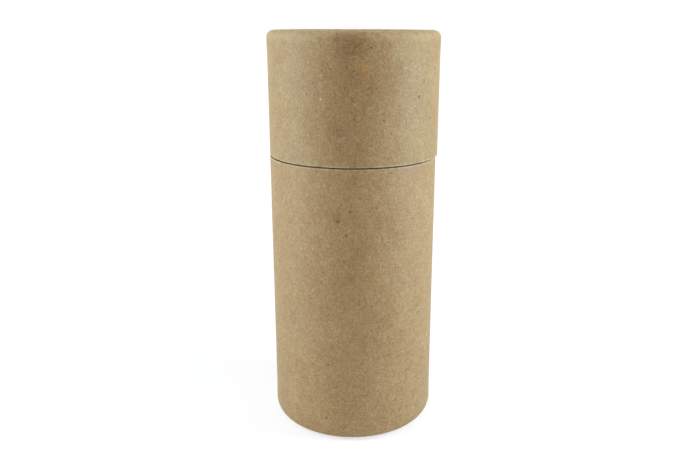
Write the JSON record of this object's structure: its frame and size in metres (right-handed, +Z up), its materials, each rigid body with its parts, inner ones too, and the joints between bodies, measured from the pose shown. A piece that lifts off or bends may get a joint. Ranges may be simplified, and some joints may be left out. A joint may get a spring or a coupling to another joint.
{
  "type": "cardboard gift tube",
  "caption": "Round kraft cardboard gift tube with rolled ends and a lift-off lid that slips over the neck of an inner tube.",
  "frame": {"origin": "on the body's axis, on the surface that the tube stands on", "axes": "+Z up along the tube, +X to the right as seen from the front, +Y to the back"},
  "size_m": [0.081, 0.081, 0.1921],
  "materials": {
    "kraft_wrap": "matte",
    "kraft_disc": "matte",
    "inner_board": "matte"
  },
  "bodies": {
    "base": {"body_tube": "kraft_wrap", "base_disc": "kraft_disc", "inner_tube": "inner_board"},
    "lid": {"lid_tube": "kraft_wrap", "lid_disc": "kraft_disc"}
  },
  "joints": [
    {"name": "lid_lift", "type": "slide", "parent": "base", "child": "lid", "axis": [0, 0, 1], "range_m": [0, 0.13]}
  ]
}
